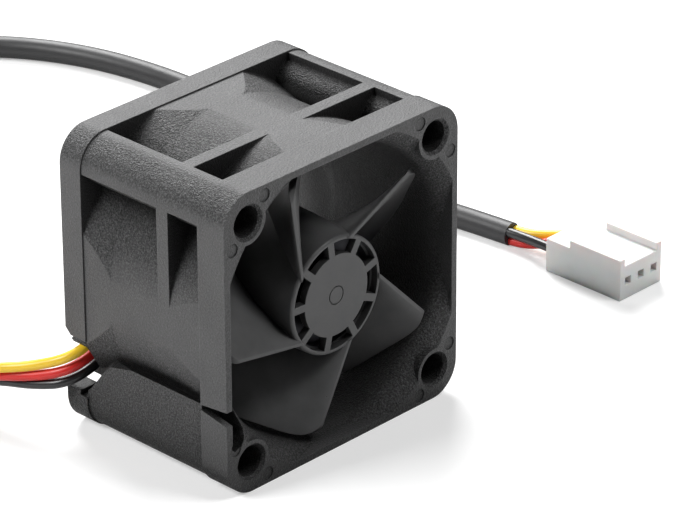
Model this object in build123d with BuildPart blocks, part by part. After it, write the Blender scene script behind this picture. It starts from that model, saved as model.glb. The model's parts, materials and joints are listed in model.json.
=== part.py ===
from build123d import *
import os
from math import acos, cos, degrees, isclose, pi, radians, sin, sqrt, tan

os.makedirs("parts", exist_ok=True)

# An axial cooling fan, 40 mm square and 28 mm deep, with a wired lead.
# X runs to the right, Y from the air intake back to the outlet, Z up.
# The origin is under the middle of the housing, on the surface that it stands on.

# Housing outline
FRAME_SIDE = 40.0
FRAME_DEPTH = 28.0
CORNER_R = 4.2
FRONT_FLANGE = 4.45
BACK_FLANGE = 3.55
BODY_INSET = 0.2
POST_SIDE = 4.4

# Screw holes
HOLE_SPACING = 32.0
HOLE_D = 4.0
HOLE_CHAMFER = 0.4
BOSS_R = 2.9

# Duct
THROAT_GAP = 1.1
DUCT_WALL = 1.1
RIM_WALL = 0.9
MOUTH_PAST = 1.2
MOUTH_DEPTH = 3.8
INTAKE_FLARE = 0.5
OUTLET_PAST = 0.6
OUTLET_DEPTH = 8.2
RIB_FROM_FRONT = 9.65
RIB_THICKNESS = 1.9
EJECTOR_MARK_R = 0.9
EJECTOR_MARK_DEPTH = 0.15
EJECTOR_NEAR = 13.3
EJECTOR_FAR = 18.65

# Wire hook at the lower left corner and the notch where the wires leave
HOOK_WALL = 0.9
HOOK_TOP = 11.4
HOOK_WIDE = 1.9
WALL_RIDGE_Z = 11.7
WALL_TOP_FALL = 1.9
WALL_TOP_WIDTH = 3.8
HOOK_LOW = 6.3
HOOK_CUT = 0.5
HOOK_INNER = 3.3
HOOK_INNER_Z = 8.7
SLIT_TOP = 12.2
SLIT_BOTTOM = 10.2
SLIT_BACK_GAP = 0.7
SCOOP_DEPTH = 2.4
SCOOP_SLOPE = 1.2
SCOOP_TOP = 12.6
SCOOP_EDGE = ((8.25, 11.75), (4.25, 10.8), (2.95, 9.5), (1.75, 7.9), (0.45, 6.2))
NOTCH_LOW = 5.65
NOTCH_HIGH = 12.8
NOTCH_LEDGE = 1.2
NOTCH_LEDGE_DROP = 0.6
NOTCH_END_ROUND = 0.9
NOTCH_STEP_Z = 7.3
NOTCH_STEP = 4.0
NOTCH_INNER = 5.4
RELIEF_TOP = 8.0
CUT_PAST = 3.0

# Motor base and struts at the outlet
BASE_R = 9.4
BASE_THICKNESS = 1.2
BASE_RIM_WALL = 0.8
BASE_RIM_HEIGHT = 2.6
BASE_BACK_GAP = 0.4
SOCKET_WALL = 0.9
SOCKET_HEIGHT = 1.3
STRUT_COUNT = 4
STRUT_WIDTH = 1.5
STRUT_DEPTH = 3.0
STRUT_END_SINK = 0.2
WIRE_STRUT_ANGLE = 210.5
WIRE_STRUT_DEPTH = 3.4
CHANNEL_WALL = 0.6
CHANNEL_FLOOR = 1.0
CHANNEL_START_R = 4.9
WIRE_START_R = 6.0
WIRE_TURN_INSET = 0.8

# Impeller
HUB_R = 7.75
HUB_BACK_R = 8.5
HUB_WALL = 0.85
HUB_FACE_FROM_FRONT = 1.3
HUB_CAP = 1.0
HUB_BACK_GAP = 1.9
HUB_EDGE_R = 0.35
SLOT_COUNT = 9
SLOT_INNER_R = 5.4
SLOT_OUTER_R = 7.2
SPOKE_WIDTH = 1.0
SPOKE_PHASE = 17.0
CENTRE_MARK_R = 1.25
CENTRE_MARK_WIDTH = 0.16
CENTRE_MARK_DEPTH = 0.12
FINE_MARK_WIDTH = 0.12
FINE_MARK_DEPTH = 0.08
FINE_MARK_POINTS = ((-2.01, -1.18), (-1.68, -1.95), (-4.09, -3.38))
BUSH_BOSS_WALL = 1.0
BLADE_COUNT = 5
BLADE_FIRST_ROOT = 69.0
TIP_CLEARANCE = 0.6
BLADE_FRONT_GAP = 1.1
BLADE_BACK_STEP = 2.4
BLADE_TWIST = 4.4
BLADE_ROOT_THICKNESS = 1.3
BLADE_TIP_THICKNESS = 0.9
BLADE_ROOT_SINK = 0.45
BLADE_LEAN_R = 5.25
BLADE_NOSE = 1.6
BLADE_NOSE_SHARE = 0.3
BLADE_TIP_ROUND = 1.3
BLADE_TAIL_SHARE = 0.55
BLADE_STATIONS = (0.0, 0.02, 0.09, 0.3, 0.53, 0.76, 1.0)

# Motor inside the hub
FIT = 0.02
RUN_GAP = 0.3
YOKE_BEHIND_CAP = 1.5
YOKE_WALL = 0.5
YOKE_BACK_STEP = 1.1
MAGNET_THICKNESS = 1.0
MAGNET_LENGTH = 10.5
MAGNET_BACK_STEP = 0.7
AIR_GAP = 0.3
STACK_LENGTH = 8.0
TOOTH_COUNT = 4
TOOTH_WIDTH = 1.5
TOOTH_SHOE = 0.4
SHOE_GAP = 1.6
CORE_RING = 0.5
INSULATOR = 0.4
COIL_BUILD = 0.6
PIN_SIDE = 0.4
PIN_PROUD = 0.3
PIN_CIRCLE_R = 3.75
PIN_LUG_R = 0.5

# Shaft and its two ball bearings
SHAFT_D = 2.0
BEARING_OD = 5.0
BEARING_WIDTH = 2.3
INNER_RACE_WALL = 0.4
OUTER_RACE_WALL = 0.4
BALL_GAP = 0.05
BALL_COUNT = 7
CAGE_HALF = 0.45
CAGE_WALL = 0.3
POCKET_GAP = 0.04
SHIELD_THICKNESS = 0.12
SHIELD_GAP = 0.1
TUBE_WALL = 0.45
TUBE_SHOULDER = 0.4
TUBE_MOUTH = 0.2
REAR_BEARING_GAP = 3.9
SPRING_WIRE = 0.3
SPRING_GAP = 0.05
SPRING_SPACE = 1.1
SPRING_TURNS = 2.5
CLIP_THICKNESS = 0.4
CLIP_R = 1.9
CLIP_GROOVE = 0.2
CLIP_MOUTH = 1.2
BUSH_R = 2.0
BUSH_LENGTH = 2.6
WASHER_THICKNESS = 0.3

# Circuit board and what is soldered to it
BOARD_THICKNESS = 0.8
BOARD_CLEARANCE = 0.15
BOARD_STEP = 0.1
CHIP_LENGTH = 3.0
CHIP_WIDTH = 1.5
CHIP_HEIGHT = 0.9
CHIP_ANGLE = 135.0
HALL_SIZE = 1.4
HALL_ANGLE = 45.0
SMALL_PART = 1.0
SMALL_PART_HEIGHT = 0.45
SMALL_PART_ANGLES = (250.0, 285.0, 320.0)
PART_CHAMFER = 0.1
SOLDER_LENGTH = 0.8
SOLDER_WIDTH = 1.1
SOLDER_HEIGHT = 1.8

# Lead and plug
WIRE_D = 1.3
WIRE_PITCH = 1.38
WIRE_FLOOR_GAP = 0.07
SLEEVE_D = 3.2
BUNDLE_R = 0.87
SLEEVE_LEAD_IN = 7.0
SLEEVE_LEAD_OUT = 2.8
PLUG_LEAD_IN = 3.2
ARC_SHARE = 0.45
PLUG_WIDTH = 8.2
PLUG_LENGTH = 12.9
PLUG_HEIGHT = 4.8
PLUG_RAIL = 1.1
PLUG_RAIL_WALL = 0.95
PLUG_RAIL_LENGTH = 8.8
PLUG_X = 55.5
PLUG_BACK = -1.0
PLUG_EDGE_R = 0.15
PIN_PITCH = 2.54
CAVITY_SIDE = 2.0
CAVITY_Z = 2.6
CAVITY_FRONT_WALL = 1.4
PIN_WINDOW = 1.15
TERMINAL_SIDE = 1.8
TERMINAL_LENGTH = 9.0
TERMINAL_BORE = 0.9
TERMINAL_BORE_DEPTH = 5.0
TERMINAL_SETBACK = 2.2

AXIS_Z = FRAME_SIDE / 2
HALF = FRAME_SIDE / 2
FRONT = -FRAME_DEPTH / 2
BACK = FRAME_DEPTH / 2
BODY_HALF = HALF - BODY_INSET
BODY_FRONT = FRONT + FRONT_FLANGE
BODY_BACK = BACK - BACK_FLANGE
BODY_CORNER_R = CORNER_R - BODY_INSET
RIM_HALF = HALF - RIM_WALL
THROAT_R = HALF - THROAT_GAP
MOUTH_R = HALF + MOUTH_PAST
OUTLET_R = HALF + OUTLET_PAST
STRUT_END_R = OUTLET_R + STRUT_END_SINK
WIRE_TURN_R = HALF - WIRE_TURN_INSET
DUCT_R = THROAT_R + DUCT_WALL
FAN_AXIS = Axis((0, 0, AXIS_Z), (0, 1, 0))
SOCKET_R = BEARING_OD / 2 + FIT + TUBE_WALL + FIT
CHANNEL_WIDTH = 2 * WIRE_PITCH + WIRE_D + 2 * RUN_GAP


def face_plane(y, turn=0.0):
    """A plane across the fan axis at depth y, seen from the intake, turned about the axis."""
    angle = radians(turn)
    return Plane(origin=(0, y, AXIS_Z), x_dir=(cos(angle), 0, sin(angle)), z_dir=(0, -1, 0))


def axis_plane(turn=0.0):
    """A plane that holds the fan axis: local x is the radius, local y runs back along the axis."""
    angle = radians(turn)
    outward = (cos(angle), 0, sin(angle))
    return Plane(origin=(0, 0, AXIS_Z), x_dir=outward, z_dir=(-sin(angle), 0, cos(angle)))


def turned(points):
    """A solid of revolution about the fan axis from (radius, depth) points."""
    with BuildPart() as solid:
        with BuildSketch(axis_plane()):
            with BuildLine():
                Polyline(*points, close=True)
            make_face()
        revolve(axis=FAN_AXIS)
    return solid


def ring(inner, outer, y_front, y_back):
    """A plain ring about the fan axis."""
    return turned([(inner, y_front), (outer, y_front), (outer, y_back), (inner, y_back)])


def save(solid, name):
    solid.part.label = name
    export_step(solid.part, f"parts/{name}.step")


# Duct bore: a bell mouth in front, a plain throat and a cone at the outlet.
# The square rim and the four screw bosses stand in the flared ends.
MOUTH_END = FRONT + MOUTH_DEPTH
OUTLET_START = BACK - OUTLET_DEPTH
with BuildPart() as bore:
    with BuildSketch(axis_plane()):
        with BuildLine():
            TangentArc((THROAT_R, MOUTH_END), (MOUTH_R, FRONT), tangent=(0, -1))
            Polyline((MOUTH_R, FRONT), (0, FRONT), (0, BACK), (OUTLET_R, BACK))
            Polyline((OUTLET_R, BACK), (THROAT_R, OUTLET_START), (THROAT_R, MOUTH_END))
        make_face()
    revolve(axis=FAN_AXIS)
    with BuildSketch(face_plane(BACK)):
        RectangleRounded(2 * RIM_HALF, 2 * RIM_HALF, CORNER_R - RIM_WALL)
    extrude(amount=FRAME_DEPTH, mode=Mode.INTERSECT)
    with BuildSketch(face_plane(BACK)):
        with GridLocations(HOLE_SPACING, HOLE_SPACING, 2, 2):
            Circle(BOSS_R)
    extrude(amount=FRAME_DEPTH, mode=Mode.SUBTRACT)

# Scoop in the lower left wall, where the wires leave. Its edge is given as distances in front
# of the back flange and heights, and its bottom is set back so that the wall's end slopes inward.
with BuildPart() as scoop:
    for depth, setback in ((0.0, 0.0), (SCOOP_DEPTH, SCOOP_SLOPE)):
        with BuildSketch(Plane(origin=(-HALF + depth, 0, 0), x_dir=(0, 1, 0), z_dir=(1, 0, 0))):
            with BuildLine():
                Polyline(
                    *[(BODY_BACK - y + setback, z) for y, z in SCOOP_EDGE],
                    (BODY_BACK + CUT_PAST, NOTCH_LOW - NOTCH_LEDGE_DROP),
                    (BODY_BACK + CUT_PAST, SCOOP_TOP),
                    (BODY_BACK - SCOOP_EDGE[0][0] + setback, SCOOP_TOP),
                    close=True,
                )
            make_face()
    loft(ruled=True)

# Housing: duct tube with flat sides, posts, cross rib and two flanges, moulded in one.
base_back = BACK - BASE_BACK_GAP
base_front = base_back - BASE_THICKNESS - BASE_RIM_HEIGHT
floor_front = base_back - BASE_THICKNESS
channel_floor = base_back - WIRE_STRUT_DEPTH + CHANNEL_FLOOR
wire_y = channel_floor + WIRE_D / 2 + WIRE_FLOOR_GAP
with BuildPart() as housing:
    post_shift = 2 * BODY_HALF - POST_SIDE
    with BuildSketch(face_plane(BODY_BACK)):
        with GridLocations(post_shift, post_shift, 2, 2):
            Rectangle(POST_SIDE, POST_SIDE)
        with BuildLine():
            Polyline(
                (-BODY_HALF, BODY_INSET - AXIS_Z),
                (-BODY_HALF, WALL_RIDGE_Z - AXIS_Z),
                (-BODY_HALF + WALL_TOP_WIDTH, WALL_RIDGE_Z - WALL_TOP_FALL - AXIS_Z),
                (-BODY_HALF + WALL_TOP_WIDTH, BODY_INSET - AXIS_Z),
                close=True,
            )
        make_face()
        with GridLocations(HOLE_SPACING, HOLE_SPACING, 2, 2):
            Circle(BOSS_R)
        RectangleRounded(2 * BODY_HALF, 2 * BODY_HALF, BODY_CORNER_R, mode=Mode.INTERSECT)
    extrude(amount=BODY_BACK - BODY_FRONT)
    add(scoop.part, mode=Mode.SUBTRACT)
    with BuildSketch(axis_plane()):
        with BuildLine():
            Polyline(
                (0, BODY_FRONT),
                (DUCT_R + INTAKE_FLARE, BODY_FRONT),
                (DUCT_R, FRONT + RIB_FROM_FRONT),
                (DUCT_R, OUTLET_START),
                (OUTLET_R + DUCT_WALL / 2, BODY_BACK),
                (0, BODY_BACK),
                close=True,
            )
        make_face()
    revolve(axis=FAN_AXIS)
    with BuildSketch(face_plane(BODY_BACK)):
        RectangleRounded(2 * BODY_HALF, 2 * BODY_HALF, BODY_CORNER_R)
    extrude(amount=BODY_BACK - BODY_FRONT, mode=Mode.INTERSECT)
    with BuildSketch(face_plane(FRONT + RIB_FROM_FRONT + RIB_THICKNESS)):
        RectangleRounded(2 * BODY_HALF, 2 * BODY_HALF, BODY_CORNER_R)
        # The rib leaves the lower left corner free for the wires.
        with Locations((-HALF / 2, -HALF / 2)):
            Rectangle(HALF, HALF, mode=Mode.SUBTRACT)
    extrude(amount=RIB_THICKNESS)
    with BuildSketch(face_plane(BODY_FRONT)):
        RectangleRounded(FRAME_SIDE, FRAME_SIDE, CORNER_R)
    extrude(amount=FRONT_FLANGE)
    with BuildSketch(face_plane(BACK)):
        RectangleRounded(FRAME_SIDE, FRAME_SIDE, CORNER_R)
    extrude(amount=BACK_FLANGE)
    add(bore.part, mode=Mode.SUBTRACT)
    with BuildSketch(face_plane(BACK)):
        with GridLocations(HOLE_SPACING, HOLE_SPACING, 2, 2):
            Circle(HOLE_D / 2)
    extrude(amount=FRAME_DEPTH, mode=Mode.SUBTRACT)
    hole_rims = housing.edges().filter_by(GeomType.CIRCLE)
    hole_rims = hole_rims.filter_by(lambda e: isclose(e.radius, HOLE_D / 2))
    hole_rims = hole_rims.filter_by(lambda e: isclose(abs(e.center().Y), BACK))
    chamfer(hole_rims, HOLE_CHAMFER)
    # Hook pocket in the front flange beside the lower left wall.
    with BuildSketch(face_plane(BODY_FRONT)):
        with BuildLine():
            Polyline(
                (-HALF + RIM_WALL, SLIT_TOP - AXIS_Z),
                (-HALF + HOOK_WIDE, SLIT_TOP - AXIS_Z),
                (-HALF + HOOK_INNER, HOOK_INNER_Z - AXIS_Z),
                (-HALF + HOOK_WIDE + HOOK_CUT, HOOK_LOW - AXIS_Z + HOOK_CUT),
                (-HALF + HOOK_WALL + HOOK_CUT, HOOK_LOW - AXIS_Z),
                (-HALF + HOOK_WALL, HOOK_LOW - AXIS_Z + HOOK_CUT),
                close=True,
            )
        make_face()
    extrude(amount=FRONT_FLANGE, mode=Mode.SUBTRACT)
    # Its mouth is a slit in the side of the front flange that widens towards the front.
    side_plane = Plane(origin=(-HALF, 0, 0), x_dir=(0, 1, 0), z_dir=(1, 0, 0))
    with BuildSketch(side_plane):
        with BuildLine():
            Polyline(
                (FRONT, SLIT_TOP),
                (FRONT, SLIT_BOTTOM),
                (BODY_FRONT, HOOK_TOP - SLIT_BACK_GAP / 2),
                (BODY_FRONT, HOOK_TOP + SLIT_BACK_GAP / 2),
                close=True,
            )
        make_face()
    extrude(amount=2 * HOOK_WALL, mode=Mode.SUBTRACT)
    # Notch in the back flange behind it: the lower edge has a ledge, the upper end is cut off askew.
    with BuildSketch(side_plane):
        with BuildLine():
            Polyline(
                (BODY_BACK, NOTCH_LOW - NOTCH_LEDGE_DROP),
                (BODY_BACK + NOTCH_LEDGE, NOTCH_LOW - NOTCH_LEDGE_DROP),
                (BODY_BACK + NOTCH_LEDGE, NOTCH_LOW),
                (BACK + CUT_PAST, NOTCH_LOW),
                (BACK + CUT_PAST, NOTCH_HIGH + NOTCH_END_ROUND + CUT_PAST),
                (BACK - NOTCH_END_ROUND, NOTCH_HIGH),
                (BODY_BACK, NOTCH_HIGH),
                close=True,
            )
        make_face()
    extrude(amount=NOTCH_STEP, mode=Mode.SUBTRACT)
    with BuildSketch(side_plane):
        with Locations(((BODY_BACK + BACK) / 2, (NOTCH_STEP_Z + NOTCH_HIGH) / 2)):
            Rectangle(BACK_FLANGE, NOTCH_HIGH - NOTCH_STEP_Z)
    extrude(amount=NOTCH_INNER, mode=Mode.SUBTRACT)
    # Motor base: a shallow cup behind the hub, with a socket for the bearing tube.
    with BuildSketch(face_plane(base_back)):
        Circle(BASE_R)
    extrude(amount=BASE_THICKNESS + BASE_RIM_HEIGHT)
    with BuildSketch(face_plane(floor_front)):
        Circle(BASE_R - BASE_RIM_WALL)
        Circle(SOCKET_R + SOCKET_WALL, mode=Mode.SUBTRACT)
    extrude(amount=BASE_RIM_HEIGHT, mode=Mode.SUBTRACT)
    with BuildSketch(face_plane(floor_front - SOCKET_HEIGHT)):
        Circle(BASE_R - BASE_RIM_WALL)
    extrude(amount=BASE_RIM_HEIGHT - SOCKET_HEIGHT, mode=Mode.SUBTRACT)
    with BuildSketch(face_plane(floor_front)):
        Circle(SOCKET_R)
    extrude(amount=SOCKET_HEIGHT, mode=Mode.SUBTRACT)
    # Three plain struts and one wide strut that carries the wires.
    for turn in range(1, STRUT_COUNT):
        with BuildSketch(face_plane(base_back, WIRE_STRUT_ANGLE + turn * 360 / STRUT_COUNT)):
            with Locations(((BASE_R - BASE_RIM_WALL / 2 + STRUT_END_R) / 2, 0)):
                Rectangle(STRUT_END_R - BASE_R + BASE_RIM_WALL / 2, STRUT_WIDTH)
        extrude(amount=STRUT_DEPTH)
    with BuildSketch(face_plane(base_back, WIRE_STRUT_ANGLE)):
        with Locations(((BASE_R - BASE_RIM_WALL / 2 + STRUT_END_R) / 2, 0)):
            Rectangle(STRUT_END_R - BASE_R + BASE_RIM_WALL / 2, CHANNEL_WIDTH + 2 * CHANNEL_WALL)
    extrude(amount=WIRE_STRUT_DEPTH)
    with BuildSketch(face_plane(BACK, WIRE_STRUT_ANGLE)):
        with Locations(((CHANNEL_START_R + HALF + CUT_PAST) / 2, 0)):
            Rectangle(HALF + CUT_PAST - CHANNEL_START_R, CHANNEL_WIDTH)
    extrude(amount=BACK - channel_floor, mode=Mode.SUBTRACT)
    # The channel's lower wall stops short, where the wires bend down.
    with BuildSketch(side_plane):
        with Locations(((channel_floor + BACK) / 2, (NOTCH_LOW + RELIEF_TOP) / 2)):
            Rectangle(BACK - channel_floor, RELIEF_TOP - NOTCH_LOW)
    extrude(amount=NOTCH_STEP, mode=Mode.SUBTRACT)
    # Ejector pins left two shallow round marks beside each screw hole.
    near_far = [(EJECTOR_NEAR, EJECTOR_FAR), (EJECTOR_FAR, EJECTOR_NEAR)]
    marks = [(sx * a, sy * b) for a, b in near_far for sx in (-1, 1) for sy in (-1, 1)]
    with BuildSketch(face_plane(FRONT + EJECTOR_MARK_DEPTH)):
        with Locations(*marks):
            Circle(EJECTOR_MARK_R)
    extrude(amount=EJECTOR_MARK_DEPTH, mode=Mode.SUBTRACT)
save(housing, "housing")

# Impeller: a hub cap with nine slots and five swept blades, moulded in one.
hub_front = FRONT + HUB_FACE_FROM_FRONT
hub_back = base_front - HUB_BACK_GAP
cap_back = hub_front + HUB_CAP
hub_inner_r = HUB_R - HUB_WALL
yoke_front = cap_back + YOKE_BEHIND_CAP
tip_r = THROAT_R - TIP_CLEARANCE
blade_front = FRONT + BLADE_FRONT_GAP
blade_length = hub_back - BLADE_BACK_STEP - blade_front
root_r = HUB_R - BLADE_ROOT_SINK


def blade_sweep(radius):
    """How far a point of the blade lags behind its root, in degrees.

    Seen from the intake each blade is a straight line that passes the axis at BLADE_LEAN_R.
    """
    return degrees(acos(BLADE_LEAN_R / HUB_R) - acos(BLADE_LEAN_R / radius))


def blade_width(radius):
    """Thickness of the blade across the turning direction, wider where the blade lies flatter."""
    share = (radius - root_r) / (tip_r - root_r)
    normal = BLADE_ROOT_THICKNESS + share * (BLADE_TIP_THICKNESS - BLADE_ROOT_THICKNESS)
    return normal * sqrt(1 + (radius * radians(BLADE_TWIST)) ** 2)


def blade_point(radius, side, share):
    """A point on one side of the blade, in the section's own plane."""
    angle = radians(blade_sweep(radius)) + side * share * blade_width(radius) / 2 / radius
    return (radius * cos(angle), radius * sin(angle))


with BuildPart() as blade:
    for station in BLADE_STATIONS:
        depth = station * blade_length
        nose = min(1.0, depth / BLADE_NOSE)
        share = BLADE_NOSE_SHARE + (1 - BLADE_NOSE_SHARE) * sqrt(nose * (2 - nose))
        if station == 1.0:
            share = BLADE_TAIL_SHARE
        end_r = tip_r - BLADE_TIP_ROUND * (1 - sqrt(nose * (2 - nose)))
        radii = [root_r + (end_r - root_r) * k / 4 for k in range(5)]
        with BuildSketch(face_plane(blade_front + depth, -BLADE_TWIST * depth)):
            with BuildLine():
                Spline(*[blade_point(r, 1, share) for r in radii])
                Line(blade_point(end_r, 1, share), blade_point(end_r, -1, share))
                Spline(*[blade_point(r, -1, share) for r in reversed(radii)])
                Line(blade_point(root_r, -1, share), blade_point(root_r, 1, share))
            make_face()
    loft()

with BuildPart() as impeller:
    with BuildSketch(axis_plane()):
        with BuildLine():
            Polyline((0, hub_front), (HUB_R, hub_front), (HUB_BACK_R, hub_back), (0, hub_back), close=True)
        make_face()
    revolve(axis=FAN_AXIS)
    fillet(impeller.edges().filter_by(GeomType.CIRCLE).group_by(Axis.Y)[0], HUB_EDGE_R)
    for number in range(BLADE_COUNT):
        add(blade.part.rotate(FAN_AXIS, -BLADE_FIRST_ROOT - number * 360 / BLADE_COUNT))
    with BuildSketch(face_plane(hub_back)):
        Circle(hub_inner_r)
    extrude(amount=hub_back - cap_back, mode=Mode.SUBTRACT)
    with BuildSketch(face_plane(cap_back + BUSH_LENGTH / 2)):
        Circle(BUSH_R + BUSH_BOSS_WALL)
        Circle(BUSH_R + FIT, mode=Mode.SUBTRACT)
    extrude(amount=BUSH_LENGTH / 2)
    with BuildSketch(face_plane(cap_back)):
        Circle(SLOT_OUTER_R)
        Circle(SLOT_INNER_R, mode=Mode.SUBTRACT)
        with PolarLocations((SLOT_INNER_R + SLOT_OUTER_R) / 2, SLOT_COUNT, start_angle=SPOKE_PHASE):
            Rectangle(2 * (SLOT_OUTER_R - SLOT_INNER_R), SPOKE_WIDTH, mode=Mode.SUBTRACT)
    extrude(amount=HUB_CAP, mode=Mode.SUBTRACT)
    with BuildSketch(face_plane(hub_front + CENTRE_MARK_DEPTH)):
        Circle(CENTRE_MARK_R)
        Circle(CENTRE_MARK_R - CENTRE_MARK_WIDTH, mode=Mode.SUBTRACT)
    extrude(amount=CENTRE_MARK_DEPTH, mode=Mode.SUBTRACT)
    # A fine bent line in the hub's face beside the centre ring.
    with BuildSketch(face_plane(hub_front + FINE_MARK_DEPTH)):
        for start, end in zip(FINE_MARK_POINTS, FINE_MARK_POINTS[1:]):
            run = Line(start, end)
            with Locations(run @ 0.5):
                SlotCenterToCenter(run.length, FINE_MARK_WIDTH, rotation=run.tangent_angle_at(0))
    extrude(amount=FINE_MARK_DEPTH, mode=Mode.SUBTRACT)
save(impeller, "impeller")

# Motor, rotor side: steel yoke with its magnet inside the hub, a brass bush and the shaft.
yoke_r = hub_inner_r - FIT
yoke_back = hub_back - YOKE_BACK_STEP
yoke = turned([
    (BUSH_R + FIT, yoke_front),
    (yoke_r, yoke_front),
    (yoke_r, yoke_back),
    (yoke_r - YOKE_WALL, yoke_back),
    (yoke_r - YOKE_WALL, yoke_front + YOKE_WALL),
    (BUSH_R + FIT, yoke_front + YOKE_WALL),
])
save(yoke, "rotor_yoke")

magnet_r = yoke_r - YOKE_WALL - FIT
magnet_back = yoke_back - MAGNET_BACK_STEP
magnet = ring(magnet_r - MAGNET_THICKNESS, magnet_r, magnet_back - MAGNET_LENGTH, magnet_back)
save(magnet, "magnet_ring")

shaft_r = SHAFT_D / 2
bush_back = cap_back + BUSH_LENGTH
bush = ring(shaft_r, BUSH_R, cap_back, bush_back)
save(bush, "hub_bush")

# Two bearings sit against the shoulder in the brass tube, and a spring loads the front one.
front_bearing = bush_back + SPRING_SPACE
rear_bearing = floor_front - REAR_BEARING_GAP
inner_race_r = shaft_r + INNER_RACE_WALL
outer_race_r = BEARING_OD / 2 - OUTER_RACE_WALL
pitch_r = (inner_race_r + outer_race_r) / 2
ball_r = (outer_race_r - inner_race_r) / 2 - BALL_GAP
washer_front = rear_bearing + BEARING_WIDTH + FIT
clip_front = washer_front + WASHER_THICKNESS + FIT
shaft_back = floor_front - RUN_GAP

with BuildPart() as shaft:
    with BuildSketch(face_plane(shaft_back)):
        Circle(shaft_r - FIT / 2)
    extrude(amount=shaft_back - cap_back)
    with BuildSketch(face_plane(clip_front + CLIP_THICKNESS + FIT)):
        Circle(shaft_r)
        Circle(shaft_r - CLIP_GROOVE, mode=Mode.SUBTRACT)
    extrude(amount=CLIP_THICKNESS + 2 * FIT, mode=Mode.SUBTRACT)
    shaft_ends = shaft.edges().filter_by(GeomType.CIRCLE).sort_by(Axis.Y)
    chamfer([shaft_ends[0], shaft_ends[-1]], CLIP_GROOVE / 2)
save(shaft, "rotor_shaft")

for place, y_front in (("front", front_bearing), ("rear", rear_bearing)):
    y_mid = y_front + BEARING_WIDTH / 2
    save(ring(shaft_r, inner_race_r, y_front, y_front + BEARING_WIDTH), f"{place}_bearing_inner_ring")
    save(ring(outer_race_r, BEARING_OD / 2, y_front, y_front + BEARING_WIDTH), f"{place}_bearing_outer_ring")
    with BuildPart() as balls:
        with Locations(face_plane(y_mid)):
            with PolarLocations(pitch_r, BALL_COUNT):
                Sphere(ball_r)
    save(balls, f"{place}_bearing_balls")
    with BuildPart() as cage:
        with BuildSketch(face_plane(y_mid + CAGE_HALF)):
            Circle(pitch_r + CAGE_WALL / 2)
            Circle(pitch_r - CAGE_WALL / 2, mode=Mode.SUBTRACT)
        extrude(amount=2 * CAGE_HALF)
        for number in range(BALL_COUNT):
            angle = radians(number * 360 / BALL_COUNT)
            outward = (cos(angle), 0, sin(angle))
            with BuildSketch(Plane(origin=(0, y_mid, AXIS_Z), x_dir=(0, 1, 0), z_dir=outward)):
                Circle(ball_r + POCKET_GAP)
            extrude(amount=BEARING_OD, mode=Mode.SUBTRACT)
    save(cage, f"{place}_bearing_cage")
    with BuildPart() as shields:
        for y_back in (y_front + SHIELD_THICKNESS, y_front + BEARING_WIDTH):
            with BuildSketch(face_plane(y_back)):
                Circle(outer_race_r)
                Circle(inner_race_r + SHIELD_GAP, mode=Mode.SUBTRACT)
            extrude(amount=SHIELD_THICKNESS)
    save(shields, f"{place}_bearing_shields")

spring_r = shaft_r + SPRING_GAP + SPRING_WIRE / 2
spring_height = SPRING_SPACE - SPRING_WIRE - 2 * FIT
spring_start = bush_back + SPRING_WIRE / 2 + FIT
with BuildPart() as spring:
    with BuildLine() as coil:
        Helix(
            spring_height / SPRING_TURNS,
            spring_height,
            spring_r,
            center=(0, spring_start, AXIS_Z),
            direction=(0, 1, 0),
        )
    with BuildSketch(Plane(origin=coil.line @ 0, z_dir=coil.line % 0)):
        Circle(SPRING_WIRE / 2)
    sweep(is_frenet=True)
save(spring, "preload_spring")

washer = ring(shaft_r + FIT, inner_race_r, washer_front, washer_front + WASHER_THICKNESS)
save(washer, "thrust_washer")

with BuildPart() as clip:
    with BuildSketch(face_plane(clip_front + CLIP_THICKNESS)):
        Circle(CLIP_R)
        Circle(shaft_r - CLIP_GROOVE + FIT, mode=Mode.SUBTRACT)
        with Locations((CLIP_R, 0)):
            Rectangle(2 * CLIP_R, CLIP_MOUTH, mode=Mode.SUBTRACT)
    extrude(amount=CLIP_THICKNESS)
save(clip, "retaining_clip")

# Motor, fixed side: bearing tube, stator core with its insulators and coils, and the board.
tube_inner_r = BEARING_OD / 2 + FIT
tube_outer_r = tube_inner_r + TUBE_WALL
tube_front = front_bearing - TUBE_MOUTH
tube = turned([
    (tube_inner_r, tube_front),
    (tube_outer_r, tube_front),
    (tube_outer_r, floor_front),
    (tube_inner_r, floor_front),
    (tube_inner_r, rear_bearing),
    (tube_inner_r - TUBE_SHOULDER, rear_bearing),
    (tube_inner_r - TUBE_SHOULDER, front_bearing + BEARING_WIDTH),
    (tube_inner_r, front_bearing + BEARING_WIDTH),
])
save(tube, "bearing_tube")

core_inner_r = tube_outer_r + FIT
core_ring_r = core_inner_r + CORE_RING
stator_r = magnet_r - MAGNET_THICKNESS - AIR_GAP
core_back = magnet_back - (MAGNET_LENGTH - STACK_LENGTH) / 2
core_front = core_back - STACK_LENGTH


def teeth(width, end_r):
    """The teeth of the stator as bars from its ring out to a radius."""
    with PolarLocations((core_inner_r + end_r) / 2, TOOTH_COUNT, start_angle=180 / TOOTH_COUNT):
        Rectangle(end_r - core_inner_r, width)


with BuildPart() as core:
    with BuildSketch(face_plane(core_back)):
        Circle(stator_r)
        Circle(stator_r - TOOTH_SHOE, mode=Mode.SUBTRACT)
        with PolarLocations(stator_r, TOOTH_COUNT):
            Rectangle(2 * stator_r, SHOE_GAP, mode=Mode.SUBTRACT)
        Circle(core_ring_r)
        teeth(TOOTH_WIDTH, stator_r - TOOTH_SHOE / 2)
        Circle(core_inner_r, mode=Mode.SUBTRACT)
    extrude(amount=STACK_LENGTH)
save(core, "stator_core")

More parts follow.
